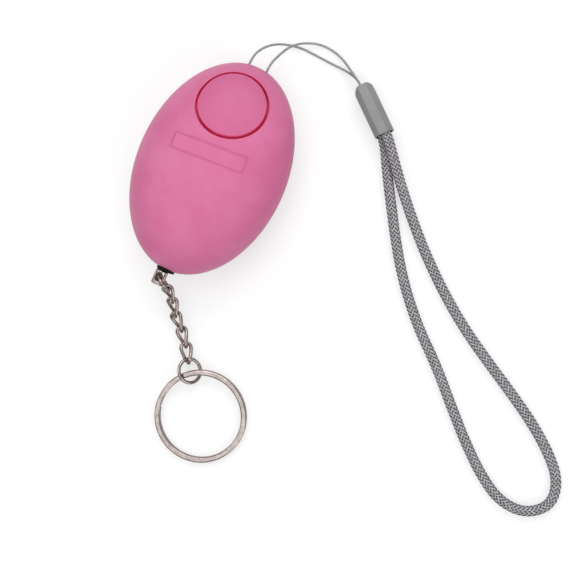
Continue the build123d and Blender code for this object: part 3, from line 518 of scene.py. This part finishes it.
def paint_nodes():
    paint(pink_shell(), "front_shell", "rear_shell", "push_button")
    paint(moulded("black_plastic", (0.004, 0.003, 0.004), roughness=0.5, shine=0.12),
          "pin_socket", "cell_tray", "contact_block", "switch_body")
    paint(plated("nickel_plate", (0.44, 0.39, 0.375), (0.22, 0.175, 0.165), roughness=0.15,
                 streak_depth=0.0012),
          "pull_pin", "small_ring", "key_ring")
    paint(plated("chain_plate", (0.41, 0.345, 0.33), (0.13, 0.09, 0.085), roughness=0.18),
          *numbered("chain_link", chain_link_count))
    paint(moulded("insulating_plastic", (0.75, 0.74, 0.70), roughness=0.38, subsurface=0.15),
          "pin_insulating_tip")
    paint(plated("zinc_steel", (0.52, 0.52, 0.53), (0.30, 0.28, 0.26), roughness=0.30,
                 streak_depth=0.008),
          "case_screws", "board_screws", "switch_cover", "cell_contact_positive",
          "cell_contact_negative")
    paint(plated("cell_steel", (0.68, 0.67, 0.65), (0.45, 0.43, 0.40), roughness=0.22),
          *numbered("button_cell", button_cell_count))
    paint(plated("sheet_brass", (0.78, 0.55, 0.22), (0.42, 0.26, 0.10), roughness=0.25),
          "sounder_disc", "pin_contact_left", "pin_contact_right")
    paint(moulded("fired_ceramic", (0.72, 0.70, 0.62), roughness=0.55, grain_size=0.3,
                  grain_depth=0.01, spread=0.06),
          "sounder_ceramic")
    paint(foam("foam", (0.09, 0.09, 0.10)), "sounder_gasket", "cell_pad")
    paint(circuit_board(), "circuit_board")
    paint(moulded("plunger_plastic", (0.035, 0.035, 0.04), roughness=0.4), "switch_plunger")
    paint(moulded("ferrite", (0.045, 0.045, 0.05), roughness=0.5, grain_size=0.2, grain_depth=0.02),
          "booster_coil_core")
    paint(winding(), "booster_coil_winding")
    paint(moulded("epoxy_black", (0.02, 0.02, 0.022), roughness=0.5, grain_size=0.25,
                  grain_depth=0.015),
          "control_chip", "transistor", "resistors")
    paint(plated("drawn_can", (0.62, 0.62, 0.64), (0.42, 0.42, 0.44), roughness=0.28), "capacitor")
    paint(moulded("wire_insulation", (0.42, 0.02, 0.02), roughness=0.45),
          "cell_lead_positive", "sounder_lead_disc")
    paint(moulded("wire_insulation_black", (0.015, 0.015, 0.017), roughness=0.45),
          "cell_lead_negative", "sounder_lead_ceramic")
    paint(twisted_yarn("strap_yarn_inside", (0.22, 0.225, 0.215)), "strap_bight")
    paint(moulded("clamp_plastic", (0.255, 0.26, 0.265), roughness=0.46, grain_size=0.35,
                  grain_depth=0.012, spread=0.06),
          "strap_clamp")


# Cords

def spline_line(name, route):
    """The smooth line of a route: a NURBS spline with the route's points as its control points."""
    curve = bpy.data.curves.new(name, "CURVE")
    curve.dimensions = "3D"
    curve.resolution_u = curve_steps
    spline = curve.splines.new("NURBS")
    spline.points.add(len(route) - 1)
    for point, place in zip(spline.points, route):
        point.co = (*(Vector(place) * MM), 1.0)
    spline.order_u = 3
    spline.use_endpoint_u = True
    holder = bpy.data.objects.new(name, curve)
    scene.collection.objects.link(holder)
    bpy.context.view_layer.update()
    mesh = bpy.data.meshes.new_from_object(holder)
    line = np.array([vertex.co for vertex in mesh.vertices])
    bpy.data.objects.remove(holder)
    bpy.data.meshes.remove(mesh)
    return line


def evenly(line, step):
    """The same line with points about a step apart, and their distances from its start."""
    runs = np.linalg.norm(np.diff(line, axis=0), axis=1)
    distance = np.concatenate(([0.0], np.cumsum(runs)))
    count = max(int(round(distance[-1] / step)), fewest_steps)
    stations = np.linspace(0.0, distance[-1], count + 1)
    points = np.stack([np.interp(stations, distance, line[:, i]) for i in range(3)], axis=1)
    return points, stations


def unit(vectors):
    return vectors / np.linalg.norm(vectors, axis=1)[:, None]


def frames_along(points):
    """Unit directions across a line, at right angles, that turn no more than the line itself."""
    along = unit(np.gradient(points, axis=0))
    first = np.cross(along[0], (0.0, 0.0, 1.0))
    normals = [first / np.linalg.norm(first)]
    for direction in along[1:]:
        normal = normals[-1] - direction * np.dot(direction, normals[-1])
        normals.append(normal / np.linalg.norm(normal))
    normals = np.array(normals)
    return normals, np.cross(along, normals)


class TubeSet:
    """Closed tubes gathered into one mesh, with a place along and across each, and a tone."""

    def __init__(self):
        self.points, self.faces, self.uvs, self.tones, self.slots = [], [], [], [], []
        self.count = 0

    def add(self, centres, side, outward, half_width, half_thick, corners, stations, tone, slot):
        angles = np.linspace(0.0, 2 * math.pi, corners, endpoint=False)
        ring = (side[:, None, :] * (half_width * np.cos(angles))[None, :, None]
                + outward[:, None, :] * (half_thick * np.sin(angles))[None, :, None])
        points = (centres[:, None, :] + ring).reshape(-1, 3)
        rows = len(centres)
        row, corner = np.meshgrid(np.arange(rows - 1), np.arange(corners), indexing="ij")
        after = (corner + 1) % corners
        quads = np.stack([row * corners + corner, row * corners + after, (row + 1) * corners + after,
                          (row + 1) * corners + corner], axis=-1).reshape(-1, 4)
        across = np.stack([corner, corner + 1, corner + 1, corner], axis=-1).reshape(-1, 4) / corners
        station = np.stack([row, row, row + 1, row + 1], axis=-1).reshape(-1, 4)
        uv = np.stack([stations[station] / MM, across], axis=-1)
        start = self.count
        self.faces += [tuple(quad) for quad in quads + start]
        self.uvs += list(uv.reshape(-1, 2))
        first_cap = tuple(start + np.arange(corners)[::-1])
        last_cap = tuple(start + (rows - 1) * corners + np.arange(corners))
        for cap, place in ((first_cap, stations[0]), (last_cap, stations[-1])):
            self.faces.append(cap)
            self.uvs += [(place / MM, 0.5)] * corners
        self.points.append(points)
        self.tones += [tone] * len(points)
        self.slots += [slot] * (len(quads) + 2)
        self.count += len(points)

    def build(self, name, materials):
        mesh = bpy.data.meshes.new(name)
        faces = [list(map(int, face)) for face in self.faces]
        mesh.from_pydata(np.concatenate(self.points).tolist(), [], faces)
        for material in materials:
            mesh.materials.append(material)
        layer = mesh.uv_layers.new(name="strand")
        layer.data.foreach_set("uv", np.array(self.uvs, np.float32).ravel())
        tone = mesh.attributes.new("tone", "FLOAT", "POINT")
        tone.data.foreach_set("value", np.array(self.tones, np.float32))
        mesh.polygons.foreach_set("material_index", np.array(self.slots, np.int32))
        mesh.polygons.foreach_set("use_smooth", np.ones(len(self.faces), bool))
        mesh.update()
        piece = bpy.data.objects.new(name, mesh)
        scene.collection.objects.link(piece)
        return piece


def braid(name, route, diameter, strands, pitch, step, corners, materials):
    """A round braid round a near-black core of painted shade, along a route, with the given number of
    strands each way.
    """
    lift = strand_lift_share * diameter
    half_thick = strand_thickness_share * diameter
    mean_radius = diameter / 2 - lift / 2 - half_thick
    core_radius = mean_radius - lift / 2
    turn_rate = 2 * math.pi / (strands * pitch)
    spacing = 2 * math.pi * mean_radius / strands
    slope = math.atan(mean_radius * turn_rate)
    half_width = strand_width_share * spacing * math.cos(slope)
    line = spline_line(name + "_line", route)
    points, stations = evenly(line, step * MM)
    normals, binormals = frames_along(points)
    length = stations / MM
    # A strand meets one of the other way at each crossing: it goes over two of them, then under two
    crossing = length * turn_rate * strands / math.pi
    shades = np.random.default_rng(tone_seed)
    tubes = TubeSet()
    for way in (1, -1):
        for number in range(strands):
            angle = way * turn_rate * length + 2 * math.pi * number / strands
            phase = (2 * number + way * crossing) / 4
            swing = np.cos(2 * math.pi * (phase - crest_phase))
            rise = way * np.tanh(crest_flatness * swing) / math.tanh(crest_flatness)
            outward = normals * np.cos(angle)[:, None] + binormals * np.sin(angle)[:, None]
            centres = points + outward * ((mean_radius + lift / 2 * rise) * MM)[:, None]
            side = unit(np.cross(unit(np.gradient(centres, axis=0)), outward))
            tone = float(shades.uniform(0.0, tone_spread) + (tone_between_ways if way > 0 else 0.0))
            tubes.add(centres, side, outward, half_width * MM, half_thick * MM, corners, stations,
                      tone, slot=0)
    thin, thin_stations = evenly(line, core_step_multiple * step * MM)
    core_normals, core_binormals = frames_along(thin)
    tubes.add(thin, core_normals, core_binormals, core_radius * MM, core_radius * MM, core_corners,
              thin_stations, tone=0.0, slot=1)
    piece = tubes.build(name, materials)
    print(name, "length", round(stations[-1] / MM, 1))
    return piece, points, stations[-1]


def make_cords():
    # The second colour of each yarn and the colour of each core are painted shade for the gaps between
    # strands
    strap_materials = [yarn("strap_yarn", (0.65, 0.655, 0.645), (0.18, 0.18, 0.178), ends=2.0),
                       shade_core("strap_core", (0.03, 0.03, 0.03))]
    for name, route, node in (("strap_cord_left_strands", left_cord_route, "strap_cord_left"),
                              ("strap_cord_right_strands", right_cord_route, "strap_cord_right")):
        piece, path, length = braid(name, route, strap_cord_diameter, strap_strands, strap_pitch,
                                    strap_step, strap_corners, strap_materials)
        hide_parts(node)
        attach(piece, "egg")
    # Near black: painted shade in the gaps of the wrist loop's braid
    loop_materials = [yarn("wrist_yarn", (0.63, 0.61, 0.65), (0.003, 0.002, 0.004)),
                      shade_core("wrist_core", (0.02, 0.018, 0.025))]
    piece, path, length = braid("wrist_loop_braid", loop_route, wrist_loop_diameter, loop_strands,
                                loop_pitch, loop_step, loop_corners, loop_materials)
    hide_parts("wrist_loop")
    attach(piece, "egg")


# Light, world and floor

def background_share(tree):
    """1 for what the camera sees of the background, straight, in gloss or through glass."""
    rays = tree.nodes.new("ShaderNodeLightPath")
    share = rays.outputs["Is Camera Ray"]
    for kind in ("Is Glossy Ray", "Is Transmission Ray"):
        either = tree.nodes.new("ShaderNodeMath")
        either.operation = "MAXIMUM"
        tree.links.new(share, either.inputs[0])
        tree.links.new(rays.outputs[kind], either.inputs[1])
        share = either.outputs[0]
    return share


def make_floor():
    """Pale paper that takes the shadow, with a glow that brings it to white in the picture."""
    half = floor_half_side * MM
    mesh = bpy.data.meshes.new("floor")
    mesh.from_pydata([(-half, -half, 0), (half, -half, 0), (half, half, 0), (-half, half, 0)], [],
                     [(0, 1, 2, 3)])
    floor = bpy.data.objects.new("floor", mesh)
    scene.collection.objects.link(floor)
    floor.location.z = -floor_drop * MM
    material = bpy.data.materials.new("floor")
    material.use_nodes = True
    tree = material.node_tree
    tree.nodes.clear()
    out = tree.nodes.new("ShaderNodeOutputMaterial")
    paper = tree.nodes.new("ShaderNodeBsdfDiffuse")
    paper.inputs["Color"].default_value = (*floor_colour, 1)
    glow = tree.nodes.new("ShaderNodeEmission")
    glow.inputs["Color"].default_value = (1, 1, 1, 1)
    strength = tree.nodes.new("ShaderNodeMath")
    strength.operation = "MULTIPLY"
    strength.inputs[1].default_value = floor_glow
    tree.links.new(background_share(tree), strength.inputs[0])
    tree.links.new(strength.outputs[0], glow.inputs["Strength"])
    both = tree.nodes.new("ShaderNodeAddShader")
    tree.links.new(paper.outputs[0], both.inputs[0])
    tree.links.new(glow.outputs[0], both.inputs[1])
    tree.links.new(both.outputs[0], out.inputs[0])
    mesh.materials.append(material)


def make_world():
    """White behind the object, and a studio that is bright above and dim at its walls."""
    world = bpy.data.worlds.new("studio")
    scene.world = world
    world.use_nodes = True
    tree = world.node_tree
    tree.nodes.clear()
    out = tree.nodes.new("ShaderNodeOutputWorld")
    coordinates = tree.nodes.new("ShaderNodeTexCoord")
    parts = tree.nodes.new("ShaderNodeSeparateXYZ")
    tree.links.new(coordinates.outputs["Generated"], parts.inputs[0])
    ramp = tree.nodes.new("ShaderNodeValToRGB")
    tree.links.new(parts.outputs[2], ramp.inputs[0])
    walls, ceiling = ramp.color_ramp.elements
    walls.position = wall_end
    walls.color = (*wall_colour, 1)
    ceiling.position = ceiling_start
    ceiling.color = (*ceiling_colour, 1)
    studio = tree.nodes.new("ShaderNodeBackground")
    tree.links.new(ramp.outputs[0], studio.inputs["Color"])
    studio.inputs["Strength"].default_value = world_strength
    white = tree.nodes.new("ShaderNodeBackground")
    white.inputs["Strength"].default_value = 1.0
    rays = tree.nodes.new("ShaderNodeLightPath")
    mixed = tree.nodes.new("ShaderNodeMixShader")
    tree.links.new(rays.outputs["Is Camera Ray"], mixed.inputs[0])
    tree.links.new(studio.outputs[0], mixed.inputs[1])
    tree.links.new(white.outputs[0], mixed.inputs[2])
    tree.links.new(mixed.outputs[0], out.inputs[0])


def make_lamps():
    for name, (place, size, power) in lamps.items():
        data = bpy.data.lights.new(name, "AREA")
        data.shape = "RECTANGLE"
        width, depth = size
        data.size = width * MM
        data.size_y = depth * MM
        data.energy = power
        lamp = bpy.data.objects.new(name, data)
        scene.collection.objects.link(lamp)
        lamp.location = Vector(place) * MM
        look = Vector(lamp_target) - Vector(place)
        lamp.rotation_euler = look.to_track_quat("-Z", "Y").to_euler()


scene.view_settings.view_transform = "Standard"
make_camera()
make_cords()
make_floor()
make_world()
make_lamps()
paint_nodes()
